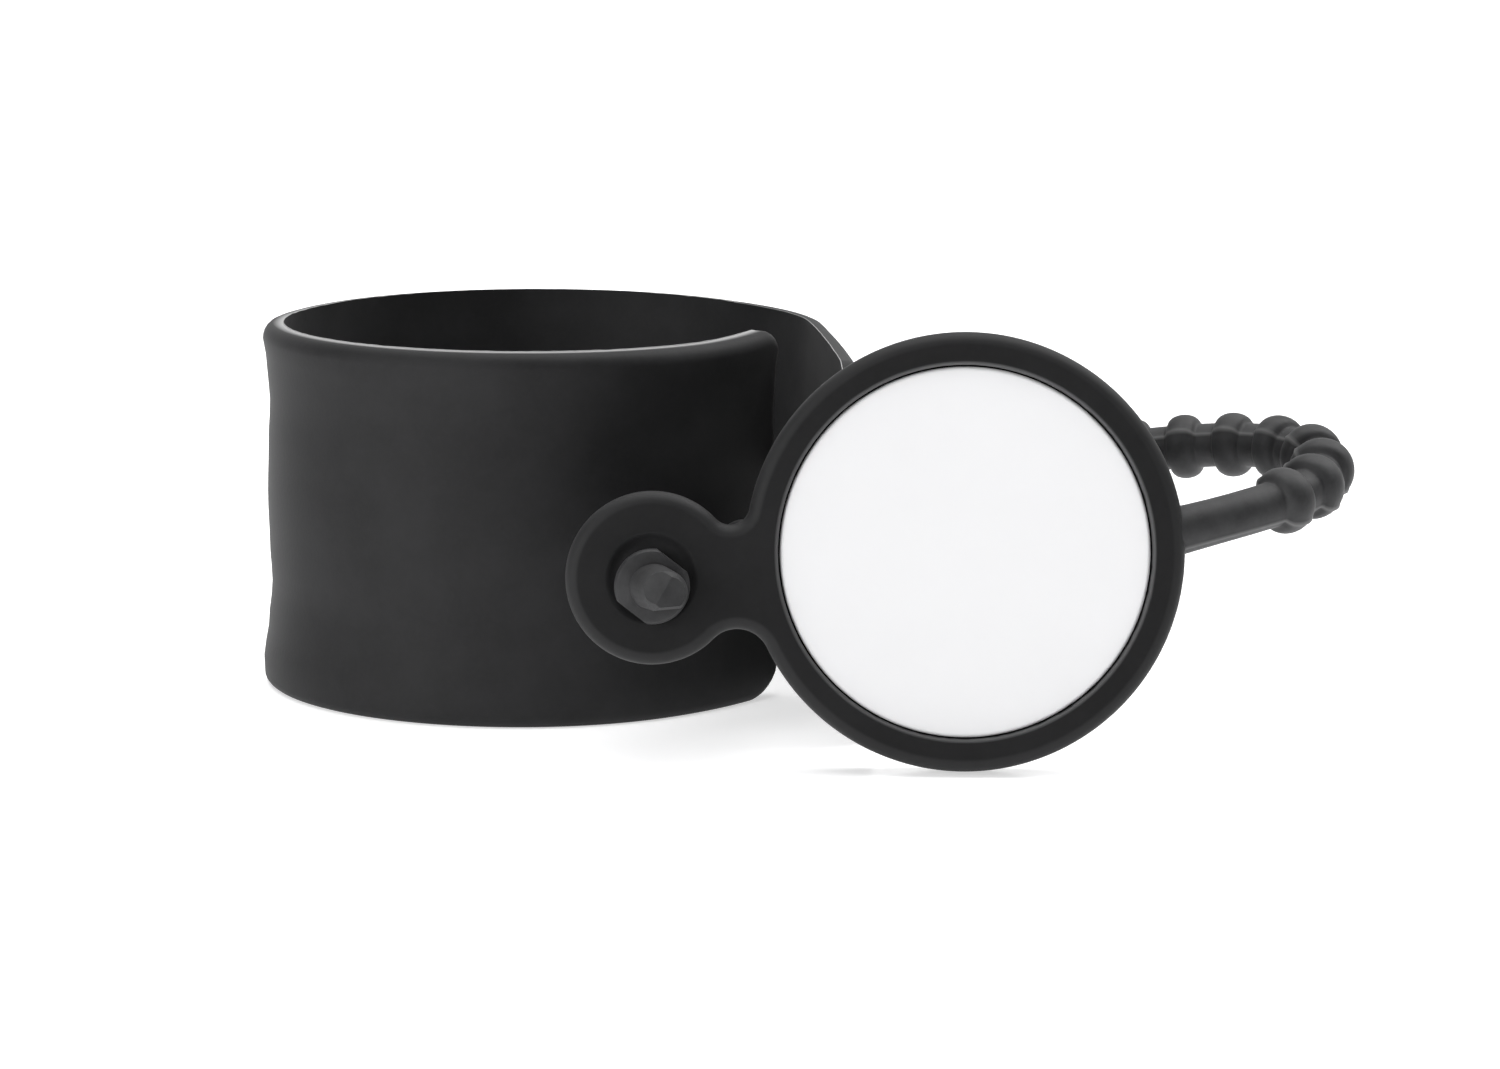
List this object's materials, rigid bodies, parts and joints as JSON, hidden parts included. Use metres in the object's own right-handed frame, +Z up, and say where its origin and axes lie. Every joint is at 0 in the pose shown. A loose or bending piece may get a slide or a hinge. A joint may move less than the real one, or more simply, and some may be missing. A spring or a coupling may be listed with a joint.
{
  "type": "wrist pin cushion",
  "caption": "Rubber slap band with a magnetic pin plate in a round rubber holder, tied to the band's free end by its own beaded tie.",
  "frame": {"origin": "middle of the wrist opening, on the surface that the band stands on", "axes": "+Z up along the wrist opening, -Y towards the side that the pin plate faces, +X along the holder towards its tie"},
  "size_m": [0.1119, 0.0804, 0.0426],
  "materials": {
    "band_rubber": "matt moulded silicone rubber",
    "holder_rubber": "matt moulded silicone rubber",
    "tie_rubber": "matt moulded silicone rubber",
    "white_plate": "smooth satin white",
    "dark_plastic": "fine moulded texture",
    "spring_steel": "rolled spring steel",
    "keeper_steel": "zinc-plated steel",
    "magnet_nickel": "nickel plated"
  },
  "bodies": {
    "band": {"band_sleeve": "band_rubber", "spring_strip": "spring_steel"},
    "free_end": {"free_end_sleeve": "band_rubber", "free_end_strip": "spring_steel"},
    "holder": {"holder_ring": "holder_rubber", "beaded_tie": "tie_rubber"},
    "pin_plate": {"pin_plate_face": "white_plate", "magnet": "magnet_nickel", "keeper_plate": "keeper_steel", "magnet_cup": "dark_plastic"}
  },
  "joints": [
    {"name": "free_end_flex", "type": "hinge", "parent": "band", "child": "free_end", "pos_m": [0.03053, 0.00242, 0.01915], "axis": [0, 0, 1], "range_deg": [0, 50], "stiffness_Nm_per_rad": 0.06},
    {"name": "holder_swing", "type": "hinge", "parent": "free_end", "child": "holder", "pos_m": [0.03116, -0.01411, 0.01915], "axis": [0, 0, 1], "range_deg": [-8, 10]},
    {"name": "plate_release", "type": "slide", "parent": "holder", "child": "pin_plate", "axis": [0, -0.9903, 0.1392], "range_m": [0, 0.012]}
  ]
}
